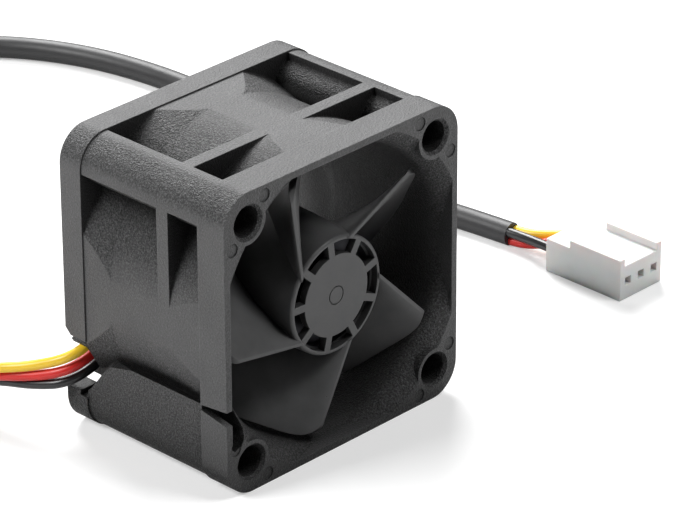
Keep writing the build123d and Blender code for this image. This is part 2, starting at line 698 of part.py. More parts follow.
for place, y_back in (("front", core_front), ("rear", core_back + INSULATOR)):
    with BuildPart() as insulator:
        with BuildSketch(face_plane(y_back)):
            Circle(core_ring_r)
            teeth(TOOTH_WIDTH, stator_r - TOOTH_SHOE / 2)
            with PolarLocations(PIN_CIRCLE_R, TOOTH_COUNT):
                Circle(PIN_LUG_R)
            Circle(core_inner_r, mode=Mode.SUBTRACT)
        extrude(amount=INSULATOR)
    save(insulator, f"{place}_insulator")

coil_inner_r = core_ring_r + FIT
coil_hole = TOOTH_WIDTH + 2 * FIT
coil_half = coil_hole / 2 + COIL_BUILD
coil_outer_r = sqrt((stator_r - TOOTH_SHOE) ** 2 - coil_half ** 2) - FIT
coil_height = STACK_LENGTH + 2 * INSULATOR + 2 * FIT
coil_mid = (core_front + core_back) / 2
with BuildPart() as coils:
    for number in range(TOOTH_COUNT):
        angle = radians(180 / TOOTH_COUNT + number * 360 / TOOTH_COUNT)
        outward = (cos(angle), 0, sin(angle))
        start = (coil_inner_r * cos(angle), coil_mid, AXIS_Z + coil_inner_r * sin(angle))
        with BuildSketch(Plane(origin=start, x_dir=(0, 1, 0), z_dir=outward)):
            RectangleRounded(coil_height + 2 * COIL_BUILD, 2 * coil_half, COIL_BUILD)
            Rectangle(coil_height, coil_hole, mode=Mode.SUBTRACT)
        extrude(amount=coil_outer_r - coil_inner_r)
save(coils, "stator_coils")

board_front = base_front + BOARD_STEP
board_back = board_front + BOARD_THICKNESS
board_r = BASE_R - BASE_RIM_WALL - BOARD_CLEARANCE
with BuildPart() as board:
    with BuildSketch(face_plane(board_back)):
        Circle(board_r)
        Circle(tube_outer_r + BOARD_CLEARANCE, mode=Mode.SUBTRACT)
        with PolarLocations(PIN_CIRCLE_R, TOOTH_COUNT):
            Rectangle(PIN_SIDE, PIN_SIDE, mode=Mode.SUBTRACT)
    extrude(amount=BOARD_THICKNESS)
save(board, "circuit_board")

with BuildPart() as pins:
    with BuildSketch(face_plane(board_back + PIN_PROUD)):
        with PolarLocations(PIN_CIRCLE_R, TOOTH_COUNT):
            Rectangle(PIN_SIDE - FIT, PIN_SIDE - FIT)
    extrude(amount=board_back + PIN_PROUD - core_back - INSULATOR)
save(pins, "coil_pins")


def board_part(name, places, length, width, height):
    """Small parts on the front of the board, each at a radius and an angle."""
    with BuildPart() as group:
        for radius, angle in places:
            with BuildSketch(face_plane(board_front, angle)):
                with Locations((radius, 0)):
                    Rectangle(width, length)
            extrude(amount=height)
        top_edges = group.edges().group_by(Axis.Y)[0]
        chamfer(top_edges, PART_CHAMFER)
    save(group, name)


part_r = (tube_outer_r + board_r) / 2
board_part("driver_chip", [(part_r, CHIP_ANGLE)], CHIP_LENGTH, CHIP_WIDTH, CHIP_HEIGHT)
board_part("hall_sensor", [(part_r, HALL_ANGLE)], HALL_SIZE, HALL_SIZE, CHIP_HEIGHT)
small_places = [(part_r, angle) for angle in SMALL_PART_ANGLES]
board_part("board_resistors", small_places, SMALL_PART, SMALL_PART / 2, SMALL_PART_HEIGHT)

with BuildPart() as solder:
    with BuildSketch(face_plane(board_back + SOLDER_HEIGHT, WIRE_STRUT_ANGLE)):
        with Locations(*[(WIRE_START_R - SOLDER_LENGTH / 2, k * WIRE_PITCH) for k in (-1, 0, 1)]):
            Rectangle(SOLDER_LENGTH, SOLDER_WIDTH)
    extrude(amount=SOLDER_HEIGHT)
save(solder, "solder_joints")

# Lead: three wires leave through the notch, run through a black sleeve that lies on the
# surface in a wide loop, and end in the plug. The route's points are chosen by hand.
strut = radians(WIRE_STRUT_ANGLE)


def on_strut(radius, side):
    """A point of a wire in the strut's channel, side steps of one wire pitch across it."""
    x = radius * cos(strut) - side * WIRE_PITCH * sin(strut)
    z = radius * sin(strut) + side * WIRE_PITCH * cos(strut)
    return (x, wire_y, AXIS_Z + z)


def lead_tube(points, diameter, name):
    """A plain round tube along straight runs joined by arcs as large as the runs allow."""
    vectors = [Vector(*p) for p in points]
    runs = [(b - a) for a, b in zip(vectors, vectors[1:])]
    radii = []
    for before, after in zip(runs, runs[1:]):
        turn = before.get_angle(after)
        radii.append(ARC_SHARE * min(before.length, after.length) / tan(radians(turn) / 2))
    with BuildPart() as tube_part:
        with BuildLine() as path:
            if radii:
                FilletPolyline(*points, radius=radii)
            else:
                Line(*points)
        with BuildSketch(Plane(origin=path.line @ 0, z_dir=path.line % 0)):
            Circle(diameter / 2)
        sweep(transition=Transition.ROUND)
    length = sum(edge.length for edge in path.line.edges())
    share = tube_part.part.volume / (pi * diameter ** 2 / 4 * length)
    bends = [round(r, 1) for r in radii]
    print(name, "length", round(length, 1), "volume share", round(share, 4), "radii", bends)
    return tube_part


sleeve_z = SLEEVE_D / 2
sleeve_route = [
    (-31.0, 47.0, sleeve_z),
    (-34.5, 60.0, sleeve_z),
    (-31.0, 75.0, sleeve_z),
    (-21.0, 88.5, sleeve_z),
    (-6.5, 99.5, sleeve_z),
    (10.5, 107.0, sleeve_z),
    (28.5, 110.0, sleeve_z),
    (44.5, 106.0, sleeve_z),
    (53.5, 92.5, sleeve_z),
    (56.8, 76.0, sleeve_z),
    (56.0, 57.0, sleeve_z),
    (53.5, 39.0, sleeve_z),
    (51.8, 23.0, sleeve_z),
    (53.3, 13.5, sleeve_z),
    (53.9, 7.3, sleeve_z),
]
save(lead_tube(sleeve_route, SLEEVE_D, "lead_sleeve"), "lead_sleeve")

# Each wire runs from its solder joint to the sleeve, and from the sleeve's other end to the plug.
# Where it meets the sleeve it has a place on a small circle round the sleeve's centre line.
wire_routes = {
    "yellow": {
        "side": -1,
        "loose": [(-20.9, 12.7, 10.0), (-23.1, 17.2, 8.15), (-24.9, 20.6, 7.4), (-27.8, 29.6, 4.5)],
        "angle_in": 165.0,
        "angle_out": 20.0,
        "slot": 1,
    },
    "red": {
        "side": 0,
        "loose": [(-20.95, 12.65, 8.45), (-23.0, 17.2, 6.7), (-24.6, 21.7, 5.8), (-26.7, 30.2, 3.5)],
        "angle_in": 45.0,
        "angle_out": 260.0,
        "slot": 0,
    },
    "black": {
        "side": 1,
        "loose": [(-21.1, 12.75, 6.9), (-22.75, 17.5, 5.15), (-23.9, 22.4, 4.5), (-25.6, 31.2, 1.9)],
        "angle_in": 285.0,
        "angle_out": 140.0,
        "slot": -1,
    },
}


def sleeve_place(end_point, next_point, angle, reach):
    """A wire's place at an end of the sleeve, reach beyond the end along the sleeve's own line."""
    outward = (Vector(*end_point) - Vector(*next_point)).normalized()
    sideways = Vector(abs(outward.Y), -outward.X * (1 if outward.Y > 0 else -1), 0)
    place = Vector(*end_point) + outward * reach
    place += sideways * (BUNDLE_R * cos(radians(angle))) + Vector(0, 0, BUNDLE_R * sin(radians(angle)))
    return (place.X, place.Y, place.Z)


plug_entry_y = PLUG_BACK - TERMINAL_SETBACK
for colour, route in wire_routes.items():
    first = [on_strut(WIRE_START_R, route["side"]), on_strut(WIRE_TURN_R, route["side"])] + route["loose"]
    for reach in (SLEEVE_LEAD_IN, 0.0):
        first.append(sleeve_place(sleeve_route[0], sleeve_route[1], route["angle_in"], reach))
    save(lead_tube(first, WIRE_D, f"{colour}_wire"), f"{colour}_wire")
    slot_x = PLUG_X + route["slot"] * PIN_PITCH
    last = [(slot_x, plug_entry_y, CAVITY_Z), (slot_x, plug_entry_y + PLUG_LEAD_IN, CAVITY_Z)]
    for reach in (SLEEVE_LEAD_OUT, 0.0):
        last.append(sleeve_place(sleeve_route[-1], sleeve_route[-2], route["angle_out"], reach))
    save(lead_tube(last, WIRE_D, f"{colour}_wire_end"), f"{colour}_wire_end")

# Plug: a white three-way crimp housing with a guide rail along each side of its top.
plug_front = PLUG_BACK - PLUG_LENGTH


def plug_plane(y, z):
    """A plane across the plug at depth y and height z, seen from its open end."""
    return Plane(origin=(PLUG_X, y, z), x_dir=(1, 0, 0), z_dir=(0, -1, 0))


slots = [(k * PIN_PITCH, 0) for k in (-1, 0, 1)]
with BuildPart() as plug:
    with BuildSketch(plug_plane(PLUG_BACK, 0)):
        with Locations((0, PLUG_HEIGHT / 2)):
            Rectangle(PLUG_WIDTH, PLUG_HEIGHT)
    extrude(amount=PLUG_LENGTH)
    with BuildSketch(plug_plane(plug_front + PLUG_RAIL_LENGTH, 0)):
        with GridLocations(PLUG_WIDTH - PLUG_RAIL_WALL, 0, 2, 1):
            with Locations((0, PLUG_HEIGHT + PLUG_RAIL / 2)):
                Rectangle(PLUG_RAIL_WALL, PLUG_RAIL)
    extrude(amount=PLUG_RAIL_LENGTH)
    fillet(plug.edges(), PLUG_EDGE_R)
    with BuildSketch(plug_plane(PLUG_BACK, CAVITY_Z)):
        with Locations(*slots):
            Rectangle(CAVITY_SIDE, CAVITY_SIDE)
    extrude(amount=PLUG_LENGTH - CAVITY_FRONT_WALL, mode=Mode.SUBTRACT)
    with BuildSketch(plug_plane(plug_front, CAVITY_Z)):
        with Locations(*slots):
            Rectangle(PIN_WINDOW, PIN_WINDOW)
    extrude(amount=-2 * CAVITY_FRONT_WALL, mode=Mode.SUBTRACT)
save(plug, "plug_housing")

with BuildPart() as terminals:
    with BuildSketch(plug_plane(plug_entry_y, CAVITY_Z)):
        with Locations(*slots):
            Rectangle(TERMINAL_SIDE, TERMINAL_SIDE)
    extrude(amount=TERMINAL_LENGTH)
    with BuildSketch(plug_plane(plug_entry_y - TERMINAL_LENGTH, CAVITY_Z)):
        with Locations(*slots):
            Rectangle(TERMINAL_BORE, TERMINAL_BORE)
    extrude(amount=-TERMINAL_BORE_DEPTH, mode=Mode.SUBTRACT)
save(terminals, "plug_terminals")
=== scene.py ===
import json
from math import cos, radians, sin

import bmesh
import bpy
from mathutils import Matrix, Vector


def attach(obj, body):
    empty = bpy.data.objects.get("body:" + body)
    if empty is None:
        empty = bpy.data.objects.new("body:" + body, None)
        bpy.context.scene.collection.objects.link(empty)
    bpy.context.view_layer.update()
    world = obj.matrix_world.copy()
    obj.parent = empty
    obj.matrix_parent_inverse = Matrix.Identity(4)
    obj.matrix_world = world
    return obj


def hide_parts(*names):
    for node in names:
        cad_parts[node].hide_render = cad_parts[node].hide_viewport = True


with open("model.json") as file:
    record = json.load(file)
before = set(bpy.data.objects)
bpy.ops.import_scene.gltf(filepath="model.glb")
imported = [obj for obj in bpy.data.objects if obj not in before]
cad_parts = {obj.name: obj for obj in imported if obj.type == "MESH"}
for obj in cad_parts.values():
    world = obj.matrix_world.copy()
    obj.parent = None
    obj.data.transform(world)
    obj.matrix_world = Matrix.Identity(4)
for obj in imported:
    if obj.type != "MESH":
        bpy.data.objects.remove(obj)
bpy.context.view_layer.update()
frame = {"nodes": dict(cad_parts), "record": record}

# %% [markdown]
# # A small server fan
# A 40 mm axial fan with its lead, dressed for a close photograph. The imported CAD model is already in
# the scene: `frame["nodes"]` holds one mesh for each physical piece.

nodes = frame["nodes"]
scene = bpy.context.scene

# %% [markdown]
# ## The camera
# The photographer stood in front of the fan's left corner and looked down at it with a long lens. The
# place, the direction and the lens come from the housing's straight edges in the picture. We build the
# camera's three axes by hand, so that its tiny roll is right too.

# %% Camera
CAMERA_PLACE = Vector((-0.34445, -0.34858, 0.27115))
CAMERA_TARGET = Vector((0.01551, 0.0, 0.01383))
CAMERA_ROLL = radians(-0.22)
camera_data = bpy.data.cameras.new("camera")
camera_data.lens, camera_data.sensor_width = 231.5, 36.0
camera_data.clip_start, camera_data.clip_end = 0.01, 20.0
camera = bpy.data.objects.new("camera", camera_data)
scene.collection.objects.link(camera)
scene.camera = camera
ahead = (CAMERA_TARGET - CAMERA_PLACE).normalized()
level_right = ahead.cross(Vector((0, 0, 1))).normalized()
level_up = level_right.cross(ahead)
right = level_right * cos(CAMERA_ROLL) + level_up * sin(CAMERA_ROLL)
up = level_up * cos(CAMERA_ROLL) - level_right * sin(CAMERA_ROLL)
turn = Matrix((right, up, -ahead)).transposed()
camera.matrix_world = Matrix.Translation(CAMERA_PLACE) @ turn.to_4x4()
print("camera looks along", [round(v, 3) for v in ahead])

# %% [markdown]
# ## The lead
# Three thin wires leave the motor through a channel in one strut, bend round the housing's left corner
# and droop into a black sleeve. The sleeve lies on the table in a wide loop and ends near the plug, where
# the wires come out again. A mesh tube would need many rings to look smooth. A NURBS curve with a round
# bevel needs only a few control points for one smooth line, as a soft cord has. They are in millimetres
# and follow the CAD model's points: only the red and the black wire's differ, by up to 0.8 mm, so that
# these two sag as in the photograph.

# %% A helper for cords
MM = 0.001
# A point's radius scales the bevel and also pads the curve's own box, so it is small.
POINT_RADIUS = 0.0005


def cord_curve(name, points_mm, diameter_mm, body="housing"):
    """A smooth round cord through control points given in millimetres."""
    data = bpy.data.curves.new(name, "CURVE")
    data.dimensions = "3D"
    spline = data.splines.new("NURBS")
    spline.points.add(len(points_mm) - 1)
    for control, place in zip(spline.points, points_mm):
        control.co = (place[0] * MM, place[1] * MM, place[2] * MM, 1.0)
        control.radius = POINT_RADIUS
    spline.order_u = 3
    spline.use_endpoint_u = True
    data.resolution_u = 16
    data.bevel_depth = diameter_mm * MM / 2 / POINT_RADIUS
    data.bevel_resolution = 7
    data.use_fill_caps = True
    piece = bpy.data.objects.new(name, data)
    scene.collection.objects.link(piece)
    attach(piece, body)
    return piece


def spline_length(piece):
    """Length in metres of a curve's own line."""
    bare = piece.data.copy()
    bare.bevel_depth = 0
    line = bpy.data.objects.new("line", bare)
    mesh = bpy.data.meshes.new_from_object(line)
    places = [vertex.co for vertex in mesh.vertices]
    length = sum((places[edge.vertices[0]] - places[edge.vertices[1]]).length for edge in mesh.edges)
    bpy.data.meshes.remove(mesh)
    bpy.data.objects.remove(line)
    bpy.data.curves.remove(bare)
    return length


# %% Sleeve
SLEEVE_D = 3.2
SLEEVE_ROUTE = [
    (-31.0, 47.0, 1.6), (-34.5, 60.0, 1.6), (-31.0, 75.0, 1.6), (-21.0, 88.5, 1.6), (-6.5, 99.5, 1.6),
    (10.5, 107.0, 1.6), (28.5, 110.0, 1.6), (44.5, 106.0, 1.6), (53.5, 92.5, 1.6), (56.8, 76.0, 1.6),
    (56.0, 57.0, 1.6), (53.5, 39.0, 1.6), (51.8, 23.0, 1.6), (53.3, 13.5, 1.6), (53.9, 7.3, 1.6),
]
FIRST_MOUTH = (SLEEVE_ROUTE[0], SLEEVE_ROUTE[1])
LAST_MOUTH = (SLEEVE_ROUTE[-1], SLEEVE_ROUTE[-2])
sleeve = cord_curve("black_sleeve", SLEEVE_ROUTE, SLEEVE_D)
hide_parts("lead_sleeve")
print("sleeve length", round(spline_length(sleeve), 4), "m")

# %% [markdown]
# Each wire starts at its solder joint, runs straight along the strut's channel, and turns out through
# the notch at the corner. In the sleeve's mouths the three wires sit in a triangle. `WIRES` gives each its
# side of the channel, its angle in the first and in the last mouth, and its slot in the plug. `LOOSE` is
# the free stretch from the notch to the sleeve, and `SAG` is how far a wire drops at the channel's end.

# %% Wire sizes and routes
WIRE_D = 1.3
WIRE_PITCH = 1.38
WIRE_Y = 11.92
AXIS_Z = 20.0
STRUT = radians(210.5)
STRUT_RADII = (6.0, 14.0, 19.2)
BUNDLE_R = 0.87
LEAD_IN, LEAD_OUT, PLUG_LEAD = 7.0, 2.8, 3.2
PLUG_X, PIN_PITCH, PIN_Z, TERMINAL_Y = 55.5, 2.54, 2.6, -3.2
WIRES = {
    "yellow": (-1, 165.0, 20.0, 1),
    "red": (0, 45.0, 260.0, 0),
    "black": (1, 285.0, 140.0, -1),
}
LOOSE = {
    "yellow": [(-20.9, 12.7, 10.0), (-23.1, 17.2, 8.15), (-24.9, 20.6, 7.4), (-27.8, 29.6, 4.5)],
    "red": [(-20.95, 12.65, 8.3), (-23.0, 17.2, 6.7), (-24.6, 21.7, 5.8), (-26.7, 30.2, 3.5)],
    "black": [(-21.0, 12.75, 6.6), (-22.75, 17.3, 5.4), (-23.9, 22.3, 4.65), (-25.7, 31.0, 2.1)],
}
SAG = {"yellow": 0.0, "red": 0.35, "black": 0.8}


# %% Helpers for a wire's two fixed stretches
def strut_place(radius, side):
    """A point of a wire in the strut's channel."""
    x = radius * cos(STRUT) - side * WIRE_PITCH * sin(STRUT)
    z = radius * sin(STRUT) + side * WIRE_PITCH * cos(STRUT)
    return (x, WIRE_Y, AXIS_Z + z)


def sleeve_place(mouth, angle, reach):
    """A wire's place at one mouth of the sleeve, reach beyond it along the sleeve's line."""
    end, inner = mouth
    outward = (Vector(end) - Vector(inner)).normalized()
    sideways = Vector((abs(outward.y), -outward.x * (1 if outward.y > 0 else -1), 0))
    place = Vector(end) + outward * reach + sideways * BUNDLE_R * cos(radians(angle))
    return place + Vector((0, 0, BUNDLE_R * sin(radians(angle))))


# %% Wires
wires, wire_ends = {}, {}
for colour, (side, angle_in, angle_out, slot) in WIRES.items():
    route = [strut_place(radius, side) for radius in STRUT_RADII]
    route[-1] = (route[-1][0], route[-1][1], route[-1][2] - SAG[colour])
    route += LOOSE[colour]
    route += [sleeve_place(FIRST_MOUTH, angle_in, reach) for reach in (LEAD_IN, 0.0)]
    wires[colour] = cord_curve(f"{colour}_lead", route, WIRE_D)
    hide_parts(f"{colour}_wire")
    slot_x = PLUG_X + slot * PIN_PITCH
    route_end = [(slot_x, TERMINAL_Y, PIN_Z), (slot_x, TERMINAL_Y + PLUG_LEAD, PIN_Z)]
    route_end += [sleeve_place(LAST_MOUTH, angle_out, reach) for reach in (LEAD_OUT, 0.0)]
    wire_ends[colour] = cord_curve(f"{colour}_lead_end", route_end, WIRE_D)
    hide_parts(f"{colour}_wire_end")
    length = spline_length(wires[colour])
    end_length = spline_length(wire_ends[colour])
    print(colour, "wire length", round(length, 4), "and", round(end_length, 4), "m")

spline_length(sleeve)

# %% [markdown]
# ## Helpers for materials
# Every finish here starts from a Principled shader and reads Object coordinates, which are metres on the
# real object, so a grain of 0.2 mm is a texture scale of about 5000. Effects that several finishes share
# are node groups: a moulded grain, a soft cloudiness, a painted highlight on the edges and painted shade
# in deep places. One more group tells the housing's coarse skin from its fine one, to keep that material
# short, and the housing also paints shade through it.


# %% Node helpers
def link(tree, source, target):
    """Join an output socket to an input socket."""
    tree.links.new(source, target)


def node(tree, kind, **values):
    """A node with its sockets set by name, such as Scale=5000, and its options by attribute."""
    made = tree.nodes.new(kind)
    for key, value in values.items():
        if key in made.inputs:
            made.inputs[key].default_value = value
        else:
            setattr(made, key, value)
    return made


def math(tree, operation, first, second=None):
    """A Math node that takes sockets or numbers."""
    made = tree.nodes.new("ShaderNodeMath")
    made.operation = operation
    for position, value in enumerate((first, second)):
        if isinstance(value, (int, float)):
            made.inputs[position].default_value = value
        elif value is not None:
            link(tree, value, made.inputs[position])
    return made.outputs[0]


def new_group(name, inputs, outputs):
    """An empty shader node group: its tree, and the sockets that its inputs and outputs link to."""
    kinds = {"float": "NodeSocketFloat", "vector": "NodeSocketVector"}
    tree = bpy.data.node_groups.new(name, "ShaderNodeTree")
    for label, kind, default in inputs:
        made = tree.interface.new_socket(name=label, in_out="INPUT", socket_type=kinds[kind])
        if default is not None:
            made.default_value = default
    for label, kind in outputs:
        tree.interface.new_socket(name=label, in_out="OUTPUT", socket_type=kinds[kind])
    return tree, tree.nodes.new("NodeGroupInput").outputs, tree.nodes.new("NodeGroupOutput").inputs


# %% [markdown]
# ### Moulded grain
# A moulded skin is a bed of tiny rounded pits. It could be displaced geometry, but pits this small only
# need a bump. Noise gives the uneven bed, smooth Voronoi cells give the pits, and `Sparkle` picks the
# high spots, which catch the light: the housing paints them into its colour as lighter glints and makes
# them glossier.

# %% Group: moulded grain
PIT_SHARE = 0.5
grain_tree, grain_in, grain_out = new_group(
    "moulded_grain",
    [("Vector", "vector", None), ("Size", "float", 5000.0), ("Softness", "float", 0.5)],
    [("Height", "float"), ("Sparkle", "float")],
)
fine = node(grain_tree, "ShaderNodeTexNoise", Detail=3.0, Roughness=0.6)
pits = node(grain_tree, "ShaderNodeTexVoronoi", feature="SMOOTH_F1")
link(grain_tree, grain_in["Vector"], fine.inputs["Vector"])
link(grain_tree, grain_in["Size"], fine.inputs["Scale"])
link(grain_tree, grain_in["Vector"], pits.inputs["Vector"])
link(grain_tree, grain_in["Size"], pits.inputs["Scale"])
link(grain_tree, grain_in["Softness"], pits.inputs["Smoothness"])
pit_height = math(grain_tree, "MULTIPLY", pits.outputs["Distance"], PIT_SHARE)
grain_height = math(grain_tree, "ADD", fine.outputs["Fac"], pit_height)
link(grain_tree, grain_height, grain_out["Height"])
sparkle = node(grain_tree, "ShaderNodeMapRange", **{"From Min": 0.42, "From Max": 0.72})
link(grain_tree, fine.outputs["Fac"], sparkle.inputs["Value"])
link(grain_tree, sparkle.outputs["Result"], grain_out["Sparkle"])
print("group", grain_tree.name, len(grain_tree.nodes), "nodes")

# %% [markdown]
# ### Cloudiness
# No plastic or metal has quite the same tone all over. A large soft noise between `Low` and `High` is a
# factor that a material can multiply its colour and its roughness with, which is simpler than mixing
# two colours in each material.

# %% Group: cloudiness
cloud_tree, cloud_in, cloud_out = new_group(
    "cloudiness",
    [
        ("Vector", "vector", None), ("Size", "float", 150.0),
        ("Low", "float", 0.9), ("High", "float", 1.1),
    ],
    [("Factor", "float")],
)
clouds = node(cloud_tree, "ShaderNodeTexNoise", Detail=4.0, Roughness=0.55)
link(cloud_tree, cloud_in["Vector"], clouds.inputs["Vector"])
link(cloud_tree, cloud_in["Size"], clouds.inputs["Scale"])
cloud_range = node(cloud_tree, "ShaderNodeMapRange", **{"From Min": 0.3, "From Max": 0.7})
link(cloud_tree, clouds.outputs["Fac"], cloud_range.inputs["Value"])
link(cloud_tree, cloud_in["Low"], cloud_range.inputs["To Min"])
link(cloud_tree, cloud_in["High"], cloud_range.inputs["To Max"])
link(cloud_tree, cloud_range.outputs["Result"], cloud_out["Factor"])
print("group", cloud_tree.name, len(cloud_tree.nodes), "nodes")

# %% [markdown]
# ### Painted edge highlight
# Edges get a painted highlight: the colour is a little lighter there. A texture mask would need a UV map.
# Instead a Bevel node rounds the normal, and where it differs from the true normal, there is an edge.

# %% Group: painted edge highlight
edge_tree, edge_in, edge_out = new_group(
    "painted_edge_highlight", [("Radius", "float", 0.0002), ("Amount", "float", 1.0)], [("Mask", "float")],
)
edge_bevel = node(edge_tree, "ShaderNodeBevel", samples=4)
link(edge_tree, edge_in["Radius"], edge_bevel.inputs["Radius"])
geometry = edge_tree.nodes.new("ShaderNodeNewGeometry")
alike = node(edge_tree, "ShaderNodeVectorMath", operation="DOT_PRODUCT")
link(edge_tree, edge_bevel.outputs["Normal"], alike.inputs[0])
link(edge_tree, geometry.outputs["True Normal"], alike.inputs[1])
edge_range = node(edge_tree, "ShaderNodeMapRange", **{"From Min": 0.995, "From Max": 0.8})
link(edge_tree, alike.outputs["Value"], edge_range.inputs["Value"])
# This mask is where the colour gets its painted edge highlight.
painted_edge_highlight = math(edge_tree, "MULTIPLY", edge_range.outputs["Result"], edge_in["Amount"])
link(edge_tree, painted_edge_highlight, edge_out["Mask"])
print("group", edge_tree.name, len(edge_tree.nodes), "nodes")

# %% [markdown]
# ### Depth shade
# Deep pockets, holes and the duct get little light, and shade is painted into the colour there, since
# weaker lamps would darken everything. Ambient Occlusion tells how open a place is, and only the colour
# uses it.

# %% Group: depth shade
depth_tree, depth_in, depth_out = new_group(
    "depth_shade", [("Distance", "float", 0.01), ("Floor", "float", 0.35)], [("Factor", "float")],
)
openness = depth_tree.nodes.new("ShaderNodeAmbientOcclusion")
openness.samples = 6
link(depth_tree, depth_in["Distance"], openness.inputs["Distance"])
depth_range = node(depth_tree, "ShaderNodeMapRange", **{"From Min": 0.4, "From Max": 0.85})
link(depth_tree, openness.outputs["AO"], depth_range.inputs["Value"])
link(depth_tree, depth_in["Floor"], depth_range.inputs["To Min"])
link(depth_tree, depth_range.outputs["Result"], depth_out["Factor"])
print("group", depth_tree.name, len(depth_tree.nodes), "nodes")

# %% [markdown]
# ### Coarse skin
# The curved duct and the low left wall were left rough in the mould, and the flat flanges were made
# finer. Two materials would need a seam between them. A mask needs none: a place is curved where its
# normal follows no axis, and the wall is found by its place on the housing. The housing also uses this
# mask to paint shade into its colour there.

# %% Group: coarse skin
LEFT_WALL_X = -0.0195
LEFT_WALL_FRONT_Y = -0.0095
LEFT_WALL_TOP_Z = 0.0118
coarse_and_shaded_tree, coarse_in, coarse_out = new_group(
    "coarse_skin_and_shade",
    [("Vector", "vector", None), ("Wall Top", "float", LEFT_WALL_TOP_Z)],
    [("Mask", "float")],
)
skin = coarse_and_shaded_tree.nodes.new("ShaderNodeNewGeometry")
normal_parts = coarse_and_shaded_tree.nodes.new("ShaderNodeSeparateXYZ")
link(coarse_and_shaded_tree, skin.outputs["True Normal"], normal_parts.inputs[0])
squareness = math(coarse_and_shaded_tree, "ABSOLUTE", normal_parts.outputs[0])
for axis in (1, 2):
    along_axis = math(coarse_and_shaded_tree, "ABSOLUTE", normal_parts.outputs[axis])
    squareness = math(coarse_and_shaded_tree, "MAXIMUM", squareness, along_axis)
curved_range = node(coarse_and_shaded_tree, "ShaderNodeMapRange", **{"From Min": 0.998, "From Max": 0.93})
link(coarse_and_shaded_tree, squareness, curved_range.inputs["Value"])
curved = curved_range.outputs["Result"]
place_parts = coarse_and_shaded_tree.nodes.new("ShaderNodeSeparateXYZ")
link(coarse_and_shaded_tree, coarse_in["Vector"], place_parts.inputs[0])
low = math(coarse_and_shaded_tree, "LESS_THAN", place_parts.outputs[2], coarse_in["Wall Top"])
left = math(coarse_and_shaded_tree, "LESS_THAN", place_parts.outputs[0], LEFT_WALL_X)
behind = math(coarse_and_shaded_tree, "GREATER_THAN", place_parts.outputs[1], LEFT_WALL_FRONT_Y)
wall = math(coarse_and_shaded_tree, "MULTIPLY", math(coarse_and_shaded_tree, "MULTIPLY", low, left), behind)
link(coarse_and_shaded_tree, math(coarse_and_shaded_tree, "MAXIMUM", curved, wall), coarse_out["Mask"])
print("group", coarse_and_shaded_tree.name, len(coarse_and_shaded_tree.nodes), "nodes")

# %% [markdown]
# ### Building a material
# A material here starts the same way each time, gets groups with its own values, takes its colour times
# a factor, and ends with a bump. Four helpers do that, so each finish below is only a few lines.


# %% Helpers that build a material
def start_material(name, rough, metallic=0.0, **shader_values):
    """A new material, its node tree, its Principled shader and its Object coordinates."""
    made = bpy.data.materials.new(name)
    made.use_nodes = True
    tree = made.node_tree
    shader = tree.nodes["Principled BSDF"]
    shader.inputs["Roughness"].default_value = rough
    shader.inputs["Metallic"].default_value = metallic
    for key, value in shader_values.items():
        shader.inputs[key.replace("_", " ")].default_value = value
    place = tree.nodes.new("ShaderNodeTexCoord").outputs["Object"]
    return made, tree, shader, place


def place_group(tree, group_tree, place=None, **values):
    """A node group in a material, with its own values."""
    made = tree.nodes.new("ShaderNodeGroup")
    made.node_tree = group_tree
    for key, value in values.items():
        made.inputs[key].default_value = value
    if place is not None:
        link(tree, place, made.inputs["Vector"])
    return made


def scaled_color(tree, color, factor):
    """A colour made lighter or darker by a factor that varies over the surface."""
    mix = node(tree, "ShaderNodeMix", data_type="RGBA", blend_type="MULTIPLY")
    mix.inputs[0].default_value = 1.0
    mix.inputs[6].default_value = (*color, 1.0)
    gray = tree.nodes.new("ShaderNodeCombineColor")
    for channel in gray.inputs:
        link(tree, factor, channel)
    link(tree, gray.outputs[0], mix.inputs[7])
    return mix.outputs[2]


def add_bump(tree, shader, height, depth, rounded=None):
    """Bump of a real depth in metres, on top of rounded edges if a radius is given."""
    bump = node(tree, "ShaderNodeBump", Strength=1.0, Distance=depth)
    link(tree, height, bump.inputs["Height"])
    if rounded:
        bevel = node(tree, "ShaderNodeBevel", samples=6, Radius=rounded)
        link(tree, bevel.outputs["Normal"], bump.inputs["Normal"])
    link(tree, bump.outputs["Normal"], shader.inputs["Normal"])


# %% [markdown]
# ## Black moulded plastic
# The housing came from a spark-eroded mould, so its skin is a grain that scatters light and sparkles a
# little: fine on the flat flanges, coarser on the curved duct and the low left wall. The sparkle is
# painted into its colour as lighter glints, and the duct and the low wall also get painted shade. The
# impeller came from a polished mould, so it is smoother, with a cloudy gloss. Both get a painted highlight
# on the edges and painted shade in deep places. Sharp CAD edges would look cut from paper, so the bump
# starts from rounded normals.

# %% Housing plastic
HOUSING_COLOR = (0.074, 0.074, 0.075)
# Painted glints: how much the grain's high spots lighten the colour on the fine skin.
FINE_PAINTED_GLINT = 0.4
# Painted shade: how much darker the colour is made on the curved duct and the low left wall.
COARSE_PAINTED_SHADE = 0.42
FINE_RELIEF, COARSE_EXTRA_RELIEF = 0.6, 1.4
HOUSING_ROUGH, GLINT_GLOSS = 0.60, 0.18
housing_plastic, tree, shader, place = start_material(
    "housing_plastic", HOUSING_ROUGH, Specular_IOR_Level=0.35,
)
grain = place_group(tree, grain_tree, place, Size=4400.0, Softness=0.3)
cloud = place_group(tree, cloud_tree, place, Size=120.0, Low=0.88, High=1.12)
edge = place_group(tree, edge_tree, Radius=0.00025, Amount=0.5)
coarse_and_shaded = place_group(tree, coarse_and_shaded_tree, place)
# Painted glints: the grain's high spots make the colour lighter, more on the coarse skin.
painted_glint_share = math(tree, "ADD", coarse_and_shaded.outputs["Mask"], FINE_PAINTED_GLINT)
painted_glints = math(tree, "MULTIPLY", grain.outputs["Sparkle"], painted_glint_share)
tone = math(tree, "ADD", cloud.outputs["Factor"], painted_glints)
